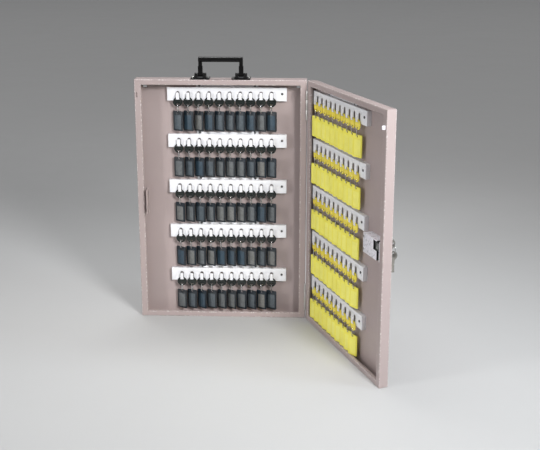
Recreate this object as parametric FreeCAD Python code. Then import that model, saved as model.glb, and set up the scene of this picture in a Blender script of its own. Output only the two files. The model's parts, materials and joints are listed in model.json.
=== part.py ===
import FreeCAD, Part
import math
import os

from FreeCAD import Placement, Rotation, Vector

# Portable key cabinet: a shallow sheet-metal body tray and a shallower door tray, hinged
# together at one long side, each with five bars of ten hooks that carry key holders.
#
# Row frame: +Z up, front of the body towards -Y, hinge side towards +X. The origin is the
# centre of the body's base. Both trays are modelled in a tray frame of their own, in which
# the rim lies in the plane y = 0, the inside is towards +Y and the open face is seen from -Y.

# ---------------------------------------------------------------- driving dimensions (mm)
CABINET_WIDTH = 380.0
CABINET_HEIGHT = 555.0
BODY_DEPTH = 35.0
DOOR_DEPTH = 20.0
SHEET = 1.0
RIM_SIDE = 14.5            # width of the folded rim along the long sides
RIM_END = 12.0             # width of the folded rim along the top and bottom
LIP_DEPTH = 6.0            # inward return at the rim's inner edge
RIM_GAP = 1.0              # between the two rims when the door is shut
DOOR_OPEN_ANGLE = 112.5    # from shut, in the rest pose
AXIS_OFFSET = 0.5          # hinge axis, outside the side wall

ROW_COUNT = 5
FIRST_BAR_TOP = 534.5
ROW_PITCH = 105.9
BODY_BAR_CENTRE = 12.2
DOOR_BAR_CENTRE = -44.8
BAR_LENGTH = 266.4
BAR_HEIGHT = 30.0
BAR_DEPTH = 10.0
BAR_SHEET = 1.2

HOOK_COUNT = 10
HOOK_PITCH = 23.2
FIRST_HOOK_X = -109.4      # from the bar's centre
HOOK_WIDTH = 7.0
HOOK_REACH = 6.7           # from the bar's face to the front of the tongue
SADDLE_DROP = 25.3         # top of the saddle, below the bar's top
TONGUE_HEIGHT = 16.0
WINDOW_CLEARANCE = 0.5     # round the tongue, in the sheet it is cut from
WINDOW_TOP_DROP = 8.7       # the window's top is round, like the tongue's

LUG_WIDTH = 15.0
LUG_HEIGHT = 6.0
LUG_THICKNESS = 2.4
LUG_OFFSETS = (-61.7, 62.3)
STRIP_HEIGHT = 3.6
END_SCREW_X = 122.8
END_SCREW_DROP = 14.0
SCREW_SHANK = 1.5
SCREW_HEAD = 2.6
SCREW_HEAD_HEIGHT = 1.6
SCREW_EDGE = 0.9            # rounding of a pan head
SCREW_SLOT = 0.35           # half the width of a driver slot

RING_RADIUS = 10.6
RING_THICKNESS = 2.6
RING_EDGE = 0.8
RING_WINDOW_RADIUS = 7.6    # upper window, which hangs on the hook
RING_WINDOW_RISE = 0.6
RING_WINDOW_FLOOR = 4.6
RING_EYE_RADIUS = 4.3       # lower window, which carries the link
RING_EYE_DROP = 3.1
RING_EYE_CEILING = -4.6
HANG_GAP = 0.3             # between the ring and the saddle it hangs on

TAG_WIDTH = 25.5
TAG_HEIGHT = 45.6
TAG_THICKNESS = 3.0
TAG_CORNER = 2.5
TAG_EDGE = 0.5
BODY_TAG_YAW = -29.0        # mean turn of the tags about the vertical
DOOR_TAG_YAW = 16.0
TAG_YAW_SPREAD = 4.5
TAG_HOLE_DROP = 3.3
TAG_HOLE_RADIUS = 1.9
TAG_TOP_DROP = 52.6        # below the bar's top
LABEL_WIDTH = 17.6
LABEL_HEIGHT = 32.0
LABEL_MARGIN = 4.0          # below the label
LABEL_RECESS = 0.5

LINK_WIRE_RADIUS = 0.8
LINK_HALF_WIDTH = 2.6
LINK_RING_DROP = 1.1       # centre of the link's upper bend, below the floor of the ring's eye
LINK_TAG_RISE = 2.65       # centre of its lower bend, above the centre of the tag's hole
LINK_YAW_SHARE = 0.5       # the link takes this share of its tag's turn

HINGE_LENGTH = 64.0
HINGE_BOTTOMS = (20.0, 468.0)
KNUCKLE_RADIUS = 3.0
KNUCKLE_GAP = 0.3
KNUCKLE_END = 20.0
KNUCKLE_NOTCH = 3.6
PIN_RADIUS = 1.45
PIN_CLEARANCE = 0.05
LEAF_THICKNESS = 1.5
LEAF_INNER = 177.0
LEAF_OUTER = 186.5

SLOT_SPREAD = 343.2        # between the two wall slots
SLOT_HEIGHT = 535.0
SLOT_RADIUS = 2.25
SLOT_LENGTH = 9.4

TAB_X = 184.5
TAB_Z = 521.0
TAB_THICKNESS = 1.6
TAB_HEIGHT = 8.0
TAB_REACH = 7.0
TAB_SLOT = (3.0, 11.0)

PIVOT_RISE = 8.5           # handle pivot above the cabinet's top
LEG_X = 45.0
LEG_WIDTH = 10.0            # of the sleeve round the foot of each leg
LEG_STEP = 1.0              # the leg above the sleeve is narrower by this on each side
SLEEVE_TOP = 28.0           # above the cabinet's top
LEG_THICKNESS = 8.0
BAIL_TOP_RISE = 48.0
GRIP_HEIGHT = 11.0
GRIP_THICKNESS = 13.0
GRIP_EDGE = 4.0
CHEEK_GAP = 0.5             # between a leg and a cheek
CHEEK_WIDTH = 7.5
CHEEK_RADIUS = 4.6
CHEEK_FOOT = 9.0            # half the depth of a cheek at its foot
BASE_LENGTH = 41.5
BASE_WIDTH = 33.0
BASE_CORNER = 3.0
EAR_INSET = 3.4             # of a screw from the end of a base plate
EAR_SCREW = 1.6
EAR_HEAD = 2.7
EAR_HEAD_HEIGHT = 1.7
CROSS_REACH = 1.7
CROSS_HALF = 0.3
CROSS_DEPTH = 0.8
BASE_THICKNESS = 2.4
TRUNNION_RADIUS = 2.5
RUNNING_CLEARANCE = 0.05

LOCK_LEFT = 104.0
LOCK_RIGHT = 175.0
LOCK_LOW = 257.0
LOCK_HIGH = 297.0
LOCK_WALL = 2.0
CAVITY_INSET = 6.0          # of the case's cavity from its hinge-side end
CAVITY_END = 5.0            # and from its top and bottom
CAVITY_BACK = 13.0
PORT_WALL = 3.5             # between the cavity and the strike slot
BOLT_WINDOW_LEFT = 149.0
BOLT_WINDOW_Z = (276.0, 295.0)
LOCK_SCREW_INSET = 3.0
LOCK_SCREW_HEIGHTS = (290.0, 264.0)
LOCK_SCREW_HEAD = 2.4
LOCK_SCREW_HEAD_HEIGHT = 0.8
STRIKE_SLOT = (163.5, 173.0)
STRIKE_SLOT_DEPTH = 14.0
BOLT_LOW = 274.0
BOLT_HIGH = 290.0
BOLT_FRONT = 4.0
BOLT_BACK = 8.0
BOLT_TIP = 162.5
BOLT_TRAVEL = 9.0
BOLT_CLEARANCE = 0.3
BOLT_HEAD_LEFT = 145.0
BOLT_TAIL_LEFT = 125.0
BOLT_TAIL_BACK = 6.5
BOLT_TAIL_LOW = 266.0
STRIKE_Z = (250.0, 306.0)
STRIKE_SHEET = 1.5
STRIKE_ARM_FRONT = 9.0
STRIKE_FOOT_BACK = 31.0
STRIKE_TONGUE_TIP = -12.0
STRIKE_TONGUE_HALF = 1.0
STRIKE_HOLE_GAP = 1.2       # round the bolt's thickness
STRIKE_HOLE_MARGIN = 2.0    # above and below the bolt
PLUG_X = 136.0
PLUG_Z = 277.0
PLUG_RADIUS = 5.0
PLUG_INNER = 11.0
PLUG_OUTER = 26.5
BARREL_RADIUS = 8.0
BARREL_INNER = 13.0
BARREL_HOLE_INNER = 10.0
BARREL_EDGE = 1.0
BEZEL_RADIUS = 11.0
BEZEL_HEIGHT = 3.5
BEZEL_EDGE = 1.6
CAM_RADIUS = 8.0
CAM_FRONT = 8.5
CAM_PIN_RADIUS = 1.2
CAM_PIN_CLEARANCE = 0.4
BLADE_THICKNESS = 2.0
BLADE_HEIGHT = 7.4
KEYWAY_CLEARANCE = 0.1
KEYWAY_INNER = 13.5
NOTCH_HALF = 1.3
NOTCH_DEPTH = 0.8
NOTCH_STEP = 0.35           # between the depths of the notches in a blade
KEY_PLATE = 2.2
KEY_EDGE = 0.5
KEY_BOW_RADIUS = 11.5
KEY_BOW_Y = 42.5
KEY_TIP_Y = 14.0
KEY_SHOULDER_Y = (27.0, 33.0)
KEY_SHOULDER_HALF = 5.0
KEY_NOTCHES = (16.0, 2.4, 4)    # first place, pitch and count
KEY_HOLE_Y = 50.0
KEY_HOLE_RADIUS = 2.5
KEY_RING_RADIUS = 8.5
KEY_RING_WIRE = 0.8
SPARE_BOW_RADIUS = 9.5
SPARE_BOW_DROP = 5.5
SPARE_HOLE_RADIUS = 2.2
SPARE_BLADE_LENGTH = 26.0
SPARE_NOTCHES = (4.0, 3.0, 5)   # first place above the tip, pitch and count

HALF_WIDTH = CABINET_WIDTH / 2
AXIS_X = HALF_WIDTH + AXIS_OFFSET
AXIS_Y = -RIM_GAP / 2
BODY_PANEL = BODY_DEPTH - SHEET
DOOR_PANEL = DOOR_DEPTH - SHEET

ALONG_X = Vector(1, 0, 0)
ALONG_Y = Vector(0, 1, 0)
ALONG_Z = Vector(0, 0, 1)


# ---------------------------------------------------------------- small helpers
def box(x_range, y_range, z_range):
    """Box between the two values given for each axis."""
    size = [high - low for low, high in (x_range, y_range, z_range)]
    corner = Vector(x_range[0], y_range[0], z_range[0])
    return Part.makeBox(size[0], size[1], size[2], corner)


def rod(radius, start, end):
    """Cylinder from one point to another."""
    run = end - start
    return Part.makeCylinder(radius, run.Length, start, run)


def join(shapes):
    """One clean solid from pieces that touch or overlap."""
    whole = shapes[0].multiFuse(shapes[1:])
    return whole.removeSplitter()


def moved(shape, x=0.0, y=0.0, z=0.0):
    """Copy of a shape, shifted."""
    copy = shape.copy()
    copy.translate(Vector(x, y, z))
    return copy


def body_place():
    """From the body's tray frame to the row frame."""
    return Placement(Vector(0, -BODY_DEPTH / 2, 0), Rotation())


def door_place():
    """From the door's tray frame to the row frame, with the door open as at rest."""
    turn = Rotation(ALONG_Z, 180 + DOOR_OPEN_ANGLE)
    tray_axis = Vector(-AXIS_X, AXIS_Y, 0)
    row_axis = Vector(AXIS_X, AXIS_Y - BODY_DEPTH / 2, 0)
    return Placement(row_axis - turn.multVec(tray_axis), turn)


def save(name, shape, place):
    """Write one node in the row frame."""
    placed = shape.copy()
    placed.Placement = place.multiply(placed.Placement)
    if not placed.isValid():
        raise ValueError(name + " is not a valid shape")
    placed.exportStep("parts/" + name + ".step")
    print(name, len(placed.Solids), "solids,", round(placed.Volume / 1000, 2), "cm3")


# ---------------------------------------------------------------- trays
def tray(depth, hinge_side):
    """Folded sheet tray with a rim and lip, notched for the hinge knuckles.

    hinge_side is +1 where the hinge is at +X and -1 where it is at -X.
    """
    inner_x = HALF_WIDTH - SHEET
    inner_z = (SHEET, CABINET_HEIGHT - SHEET)
    outside = box((-HALF_WIDTH, HALF_WIDTH), (0, depth), (0, CABINET_HEIGHT))
    inside = box((-inner_x, inner_x), (SHEET, depth - SHEET), inner_z)
    mouth_x = HALF_WIDTH - RIM_SIDE
    mouth_z = (RIM_END, CABINET_HEIGHT - RIM_END)
    mouth = box((-mouth_x, mouth_x), (-SHEET, LIP_DEPTH + SHEET), mouth_z)
    lip_x = mouth_x + SHEET
    lip_z = (mouth_z[0] - SHEET, mouth_z[1] + SHEET)
    lip = box((-lip_x, lip_x), (0, LIP_DEPTH), lip_z)
    shell = join([outside.cut(inside), lip]).cut(mouth)
    for bottom in HINGE_BOTTOMS:
        low = Vector(hinge_side * AXIS_X, AXIS_Y, bottom - 1)
        high = Vector(hinge_side * AXIS_X, AXIS_Y, bottom + HINGE_LENGTH + 1)
        shell = shell.cut(rod(KNUCKLE_NOTCH, low, high))
    return shell


def wall_slot(x):
    """Cutter for one horizontal wall-mounting slot in the body's back."""
    half = SLOT_LENGTH / 2 - SLOT_RADIUS
    y_range = (BODY_PANEL - SHEET, BODY_DEPTH + SHEET)
    z_range = (SLOT_HEIGHT - SLOT_RADIUS, SLOT_HEIGHT + SLOT_RADIUS)
    ends = []
    for end_x in (x - half, x + half):
        start = Vector(end_x, y_range[0], SLOT_HEIGHT)
        ends.append(rod(SLOT_RADIUS, start, Vector(end_x, y_range[1], SLOT_HEIGHT)))
    return join([box((x - half, x + half), y_range, z_range)] + ends)


def body_shell():
    """Body tray with its wall slots and the slot for the door's locating tab."""
    shell = tray(BODY_DEPTH, 1)
    for side in (-1, 1):
        shell = shell.cut(wall_slot(side * SLOT_SPREAD / 2))
    half_x = TAB_SLOT[0] / 2
    half_z = TAB_SLOT[1] / 2
    slot = box((-TAB_X - half_x, -TAB_X + half_x), (-SHEET, 2 * SHEET), (TAB_Z - half_z, TAB_Z + half_z))
    return shell.cut(slot)


def door_shell():
    """Door tray with the hole that the lock barrel passes through."""
    start = Vector(PLUG_X, DOOR_PANEL - SHEET, PLUG_Z)
    hole = rod(BARREL_RADIUS, start, Vector(PLUG_X, DOOR_DEPTH + SHEET, PLUG_Z))
    return tray(DOOR_DEPTH, -1).cut(hole)


def locating_tab():
    """Tab that stands out of the door's rim and enters a slot in the body's rim."""
    x_range = (TAB_X - TAB_THICKNESS / 2, TAB_X + TAB_THICKNESS / 2)
    z_range = (TAB_Z - TAB_HEIGHT / 2, TAB_Z + TAB_HEIGHT / 2)
    tab = box(x_range, (-TAB_REACH, 0), z_range)
    front = [edge for edge in tab.Edges if edge.BoundBox.YMax < -TAB_REACH + 0.1]
    return tab.makeChamfer(TAB_THICKNESS * 0.3, front)


# ---------------------------------------------------------------- hinges
def hinge_leaf(side, bottom, segments, bore):
    """Leaf behind the rim with the knuckle segments it carries, as heights above its bottom."""
    centre_x = side * AXIS_X
    leaf_y = (SHEET, SHEET + LEAF_THICKNESS)
    ends = sorted((side * LEAF_INNER, side * LEAF_OUTER))
    pieces = [box(ends, leaf_y, (bottom, bottom + HINGE_LENGTH))]
    for low, high in segments:
        z_range = (bottom + low, bottom + high)
        start = Vector(centre_x, AXIS_Y, z_range[0])
        pieces.append(rod(KNUCKLE_RADIUS, start, Vector(centre_x, AXIS_Y, z_range[1])))
        web = sorted((side * (LEAF_OUTER - 1), side * (AXIS_X - PIN_RADIUS)))
        pieces.append(box(web, leaf_y, z_range))
    start = Vector(centre_x, AXIS_Y, bottom - 1)
    through = rod(bore, start, Vector(centre_x, AXIS_Y, bottom + HINGE_LENGTH + 1))
    return join(pieces).cut(through)


def body_leaves():
    """Both body leaves; each carries the end knuckles, which grip the pin."""
    segments = ((0, KNUCKLE_END), (HINGE_LENGTH - KNUCKLE_END, HINGE_LENGTH))
    return Part.makeCompound([hinge_leaf(1, z, segments, PIN_RADIUS) for z in HINGE_BOTTOMS])


def door_leaves():
    """Both door leaves; each carries the middle knuckle, which turns on the pin."""
    middle = (KNUCKLE_END + KNUCKLE_GAP, HINGE_LENGTH - KNUCKLE_END - KNUCKLE_GAP)
    bore = PIN_RADIUS + PIN_CLEARANCE
    return Part.makeCompound([hinge_leaf(-1, z, (middle,), bore) for z in HINGE_BOTTOMS])


def hinge_pins():
    """Both hinge pins, each with a small rounded end above and below the knuckles."""
    pins = []
    for bottom in HINGE_BOTTOMS:
        start = Vector(AXIS_X, AXIS_Y, bottom - 0.8)
        pin = rod(PIN_RADIUS, start, Vector(AXIS_X, AXIS_Y, bottom + HINGE_LENGTH + 0.8))
        rims = [edge for edge in pin.Edges if edge.Curve.TypeId == "Part::GeomCircle"]
        pins.append(pin.makeFillet(0.5, rims))
    return Part.makeCompound(pins)


# ---------------------------------------------------------------- hook bars
def hook(x, face_y, top_z):
    """Saddle and upturned tongue, bent out of the bar's face."""
    half = HOOK_WIDTH / 2
    saddle_top = top_z - SADDLE_DROP
    front = face_y - HOOK_REACH
    saddle = box((x - half, x + half), (front, face_y + BAR_SHEET), (saddle_top - BAR_SHEET, saddle_top))
    tip = saddle_top - BAR_SHEET + TONGUE_HEIGHT
    tongue_y = (front, front + BAR_SHEET)
    tongue = box((x - half, x + half), tongue_y, (saddle_top - BAR_SHEET, tip - half))
    crown = rod(half, Vector(x, tongue_y[0], tip - half), Vector(x, tongue_y[1], tip - half))
    return [saddle, tongue, crown]


def hook_window(x, face_y, top_z):
    """Cutter for the opening that a tongue is cut from, round at the top."""
    half = HOOK_WIDTH / 2 + WINDOW_CLEARANCE
    y_range = (face_y - BAR_SHEET, face_y + BAR_SHEET)
    shoulder = top_z - WINDOW_TOP_DROP - half
    crown = rod(half, Vector(x, y_range[0], shoulder), Vector(x, y_range[1], shoulder))
    return join([box((x - half, x + half), y_range, (top_z - SADDLE_DROP, shoulder)), crown])


def hook_bar(centre_x, panel_y):
    """Channel-section bar of the top row, open at the back, with ten hooks and two lugs."""
    top_z = FIRST_BAR_TOP
    low_z = top_z - BAR_HEIGHT
    face_y = panel_y - BAR_DEPTH
    half = BAR_LENGTH / 2
    channel = box((centre_x - half, centre_x + half), (face_y, panel_y), (low_z, top_z))
    hollow = box(
        (centre_x - half + BAR_SHEET, centre_x + half - BAR_SHEET),
        (face_y + BAR_SHEET, panel_y + BAR_SHEET),
        (low_z + BAR_SHEET, top_z - BAR_SHEET),
    )
    channel = channel.cut(hollow)
    upright = [edge for edge in channel.Edges if is_front_corner(edge, face_y, half, centre_x)]
    channel = channel.makeFillet(BAR_SHEET * 0.6, upright)
    hooks = []
    windows = []
    for number in range(HOOK_COUNT):
        x = centre_x + FIRST_HOOK_X + number * HOOK_PITCH
        hooks += hook(x, face_y, top_z)
        windows.append(hook_window(x, face_y, top_z))
    lugs = []
    for offset in LUG_OFFSETS:
        x_range = (centre_x + offset - LUG_WIDTH / 2, centre_x + offset + LUG_WIDTH / 2)
        lugs.append(box(x_range, (panel_y - LUG_THICKNESS, panel_y), (top_z, top_z + LUG_HEIGHT)))
    strip_x = [centre_x + offset for offset in LUG_OFFSETS]
    lugs.append(box(strip_x, (panel_y - BAR_SHEET, panel_y), (top_z, top_z + STRIP_HEIGHT)))
    bar = channel.cut(Part.makeCompound(windows))
    bar = join([bar] + hooks + lugs)
    return bar.cut(Part.makeCompound(screw_shanks(centre_x, panel_y)))


def is_front_corner(edge, face_y, half, centre_x):
    """True for an upright outer edge at either end of the bar's face."""
    bounds = edge.BoundBox
    at_face = abs(bounds.YMax - face_y) < 0.01 and bounds.ZLength > BAR_HEIGHT - 0.1
    return at_face and abs(abs(bounds.XMax - centre_x) - half) < 0.01


def screw_places(centre_x, panel_y):
    """Seat of each of a bar's three screws: the plane under the head, x and z."""
    lug_z = FIRST_BAR_TOP + LUG_HEIGHT / 2
    places = [(panel_y - LUG_THICKNESS, centre_x + offset, lug_z) for offset in LUG_OFFSETS]
    places.append((panel_y - BAR_DEPTH, centre_x + END_SCREW_X, FIRST_BAR_TOP - END_SCREW_DROP))
    return places


def screw_shanks(centre_x, panel_y):
    """Shanks of the bar's screws, which end on the panel."""
    shanks = []
    for seat_y, x, z in screw_places(centre_x, panel_y):
        shanks.append(rod(SCREW_SHANK, Vector(x, seat_y, z), Vector(x, panel_y, z)))
    return shanks


def bar_screws(centre_x, panel_y):
    """Three pan-head screws of each bar, for all five bars."""
    screws = []
    shanks = screw_shanks(centre_x, panel_y)
    for place, shank in zip(screw_places(centre_x, panel_y), shanks):
        seat_y, x, z = place
        top_y = seat_y - SCREW_HEAD_HEIGHT
        head = rod(SCREW_HEAD, Vector(x, seat_y, z), Vector(x, top_y, z))
        front = [edge for edge in head.Edges if edge.BoundBox.YMax < top_y + 0.1]
        head = head.makeFillet(SCREW_EDGE, front)
        slot_y = (top_y - SCREW_SLOT, top_y + SCREW_HEAD_HEIGHT * 0.4)
        slot = box((x - SCREW_HEAD, x + SCREW_HEAD), slot_y, (z - SCREW_SLOT, z + SCREW_SLOT))
        screws.append(join([head.cut(slot), shank]))
    rows = []
    for row in range(ROW_COUNT):
        rows += [moved(screw, z=-row * ROW_PITCH) for screw in screws]
    return Part.makeCompound(rows)


# ---------------------------------------------------------------- key holders
def ring_centre_drop():
    """Drop of a ring's centre below the bar's top, so that it clears the saddle by HANG_GAP."""
    half = HOOK_WIDTH / 2
    rise = RING_WINDOW_RISE + math.sqrt(RING_WINDOW_RADIUS ** 2 - half ** 2)
    return SADDLE_DROP - HANG_GAP + rise


def holder_y(panel_y):
    """Mid-plane of the rings, half way between the bar's face and the tongue."""
    face_y = panel_y - BAR_DEPTH
    return face_y - (HOOK_REACH - BAR_SHEET) / 2


def ring_window(y, centre_z, radius, rise, z_range):
    """Cutter for a window in a ring: the part of a circle between two heights."""
    middle = centre_z + rise
    depth = (y - RING_THICKNESS, y + RING_THICKNESS)
    circle = rod(radius, Vector(0, depth[0], middle), Vector(0, depth[1], middle))
    heights = [centre_z + z for z in z_range]
    return circle.common(box((-RING_RADIUS, RING_RADIUS), depth, heights))


def ring(y):
    """Plastic disc with a D-shaped window for the hook above and an eye for the link below."""
    centre_z = FIRST_BAR_TOP - ring_centre_drop()
    front = y - RING_THICKNESS / 2
    back = y + RING_THICKNESS / 2
    disc = rod(RING_RADIUS, Vector(0, front, centre_z), Vector(0, back, centre_z))
    rims = [edge for edge in disc.Edges if edge.Curve.TypeId == "Part::GeomCircle"]
    disc = disc.makeFillet(RING_EDGE, rims)
    upper = (RING_WINDOW_FLOOR, RING_RADIUS)
    lower = (-RING_RADIUS, RING_EYE_CEILING)
    window = ring_window(y, centre_z, RING_WINDOW_RADIUS, RING_WINDOW_RISE, upper)
    eye = ring_window(y, centre_z, RING_EYE_RADIUS, -RING_EYE_DROP, lower)
    return disc.cut(window).cut(eye)


def tag(y):
    """Key tag with rounded corners, a hole at the top and a shallow label recess in front."""
    top_z = FIRST_BAR_TOP - TAG_TOP_DROP
    front = y - TAG_THICKNESS / 2
    half = TAG_WIDTH / 2
    plate = box((-half, half), (front, y + TAG_THICKNESS / 2), (top_z - TAG_HEIGHT, top_z))
    corners = [edge for edge in plate.Edges if edge.BoundBox.YLength > TAG_THICKNESS - 0.1]
    plate = plate.makeFillet(TAG_CORNER, corners)
    rims = [edge for edge in plate.Edges if edge.BoundBox.YLength < 0.1]
    plate = plate.makeFillet(TAG_EDGE, rims)
    label_top = top_z - TAG_HEIGHT + LABEL_HEIGHT + LABEL_MARGIN
    half_label = LABEL_WIDTH / 2
    label_z = (label_top - LABEL_HEIGHT, label_top)
    recess = box((-half_label, half_label), (front - 1, front + LABEL_RECESS), label_z)
    hole_z = top_z - TAG_HOLE_DROP
    hole = rod(TAG_HOLE_RADIUS, Vector(0, front - 1, hole_z), Vector(0, y + TAG_THICKNESS, hole_z))
    return plate.cut(recess).cut(hole)


def link(y):
    """Oval wire link, upright, from the ring's eye to the tag's hole."""
    eye_floor = FIRST_BAR_TOP - ring_centre_drop() - RING_EYE_DROP - RING_EYE_RADIUS
    top_z = eye_floor - LINK_RING_DROP
    low_z = FIRST_BAR_TOP - TAG_TOP_DROP - TAG_HOLE_DROP + LINK_TAG_RISE
    wires = []
    for side in (-1, 1):
        side_y = y + side * LINK_HALF_WIDTH
        wires.append(rod(LINK_WIRE_RADIUS, Vector(0, side_y, low_z), Vector(0, side_y, top_z)))
    for end_z, upward in ((top_z, True), (low_z, False)):
        hoop = Part.makeTorus(LINK_HALF_WIDTH, LINK_WIRE_RADIUS, Vector(0, y, end_z), ALONG_X)
        reach = LINK_HALF_WIDTH + 2 * LINK_WIRE_RADIUS
        z_range = (end_z, end_z + reach) if upward else (end_z - reach, end_z)
        wires.append(hoop.common(box((-reach, reach), (y - reach, y + reach), z_range)))
    return join(wires)


def yaw_offset(number, row):
    """Difference of one tag's turn from the mean, in degrees: tags never hang quite alike."""
    return TAG_YAW_SPREAD * math.sin(2.3 * number + 1.7 * row)


def holder_row(piece, centre_x, row, middle_y, mean_yaw, yaw_share):
    """Ten copies of one holder piece along a bar, turned by a share of each tag's turn."""
    copies = []
    for number in range(HOOK_COUNT):
        copy = piece.copy()
        if yaw_share:
            copy.rotate(Vector(0, middle_y, 0), ALONG_Z, yaw_share * (mean_yaw + yaw_offset(number, row)))
        x = centre_x + FIRST_HOOK_X + number * HOOK_PITCH
        copies.append(moved(copy, x=x, z=-row * ROW_PITCH))
    return Part.makeCompound(copies)


# ---------------------------------------------------------------- handle
def handle_base(side):
    """Base plate with two bored cheeks that hold one leg of the handle."""
    centre_y = BODY_DEPTH / 2
    top = CABINET_HEIGHT
    centre_x = side * LEG_X
    half_length = BASE_LENGTH / 2
    y_range = (centre_y - BASE_WIDTH / 2, centre_y + BASE_WIDTH / 2)
    plate = box((centre_x - half_length, centre_x + half_length), y_range, (top, top + BASE_THICKNESS))
    corners = [edge for edge in plate.Edges if edge.BoundBox.ZLength > BASE_THICKNESS - 0.1]
    plate = plate.makeFillet(BASE_CORNER, corners)
    pivot_z = top + PIVOT_RISE
    gap = LEG_WIDTH / 2 + CHEEK_GAP
    pieces = [plate]
    for cheek_side in (-1, 1):
        near = centre_x + cheek_side * gap
        far = near + cheek_side * CHEEK_WIDTH
        x_range = sorted((near, far))
        block = box(x_range, (centre_y - CHEEK_FOOT, centre_y + CHEEK_FOOT), (top, pivot_z))
        start = Vector(x_range[0], centre_y, pivot_z)
        crown = rod(CHEEK_RADIUS, start, Vector(x_range[1], centre_y, pivot_z))
        lower = box(x_range, (centre_y - CHEEK_RADIUS, centre_y + CHEEK_RADIUS), (top, pivot_z))
        pieces.append(block.cut(slopes(x_range, centre_y, top, pivot_z)))
        pieces += [crown, lower]
    reach = gap + CHEEK_WIDTH
    bore = rod(
        TRUNNION_RADIUS + RUNNING_CLEARANCE,
        Vector(centre_x - reach - 1, centre_y, pivot_z),
        Vector(centre_x + reach + 1, centre_y, pivot_z),
    )
    base = join(pieces).cut(bore)
    for x in screw_ears(side):
        base = base.cut(rod(EAR_SCREW, Vector(x, centre_y, top), Vector(x, centre_y, top + BASE_THICKNESS)))
    return base


def slopes(x_range, centre_y, top, pivot_z):
    """Cutter that slopes both shoulders of a cheek block down to the base plate."""
    wedges = []
    for side in (-1, 1):
        outer = centre_y + side * (CHEEK_FOOT + 0.5)
        inner = centre_y + side * (CHEEK_RADIUS - 0.2)
        points = [
            Vector(x_range[0], outer, top + BASE_THICKNESS),
            Vector(x_range[0], outer, pivot_z + 1),
            Vector(x_range[0], inner, pivot_z + 1),
        ]
        face = Part.Face(Part.makePolygon(points + points[:1]))
        wedges.append(face.extrude(Vector(x_range[1] - x_range[0], 0, 0)))
    return Part.makeCompound(wedges)


def screw_ears(side):
    """X of the two screws of one base plate."""
    reach = BASE_LENGTH / 2 - EAR_INSET
    return (side * LEG_X - reach, side * LEG_X + reach)


def handle_screws():
    """Four pan-head screws that hold the base plates to the top of the body."""
    screws = []
    centre_y = BODY_DEPTH / 2
    seat = CABINET_HEIGHT + BASE_THICKNESS
    for side in (-1, 1):
        for x in screw_ears(side):
            crown_z = seat + EAR_HEAD_HEIGHT
            head = rod(EAR_HEAD, Vector(x, centre_y, seat), Vector(x, centre_y, crown_z))
            front = [edge for edge in head.Edges if edge.BoundBox.ZMin > crown_z - 0.1]
            head = head.makeFillet(SCREW_EDGE, front)
            cross = []
            for reach_x, reach_y in ((CROSS_REACH, CROSS_HALF), (CROSS_HALF, CROSS_REACH)):
                cross_y = (centre_y - reach_y, centre_y + reach_y)
                cross.append(box((x - reach_x, x + reach_x), cross_y, (crown_z - CROSS_DEPTH, crown_z + 1)))
            shank = rod(EAR_SCREW, Vector(x, centre_y, CABINET_HEIGHT), Vector(x, centre_y, seat))
            screws.append(join([head.cut(join(cross)), shank]))
    return Part.makeCompound(screws)


def handle_bail():
    """U-shaped carrying handle with a trunnion through the foot of each leg."""
    centre_y = BODY_DEPTH / 2
    pivot_z = CABINET_HEIGHT + PIVOT_RISE
    top_z = CABINET_HEIGHT + BAIL_TOP_RISE
    half_leg = LEG_THICKNESS / 2
    outer_x = LEG_X + LEG_WIDTH / 2 - LEG_STEP
    grip = box(
        (-outer_x, outer_x),
        (centre_y - GRIP_THICKNESS / 2, centre_y + GRIP_THICKNESS / 2),
        (top_z - GRIP_HEIGHT, top_z),
    )
    long_edges = [edge for edge in grip.Edges if edge.BoundBox.XLength > outer_x]
    grip = grip.makeFillet(GRIP_EDGE, long_edges)
    pieces = [grip]
    for side in (-1, 1):
        near, far = sorted((side * (LEG_X - LEG_WIDTH / 2), side * (LEG_X + LEG_WIDTH / 2)))
        y_range = (centre_y - half_leg, centre_y + half_leg)
        leg_y = (y_range[0] + LEG_STEP, y_range[1] - LEG_STEP)
        pieces.append(box((near, far), y_range, (pivot_z, CABINET_HEIGHT + SLEEVE_TOP)))
        pieces.append(box((near + LEG_STEP, far - LEG_STEP), leg_y, (pivot_z, top_z - GRIP_HEIGHT / 2)))
        pieces.append(rod(half_leg, Vector(near, centre_y, pivot_z), Vector(far, centre_y, pivot_z)))
        reach = LEG_WIDTH / 2 + CHEEK_GAP + CHEEK_WIDTH
        start = Vector(side * LEG_X - reach, centre_y, pivot_z)
        pieces.append(rod(TRUNNION_RADIUS, start, Vector(side * LEG_X + reach, centre_y, pivot_z)))
    return join(pieces)


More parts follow.
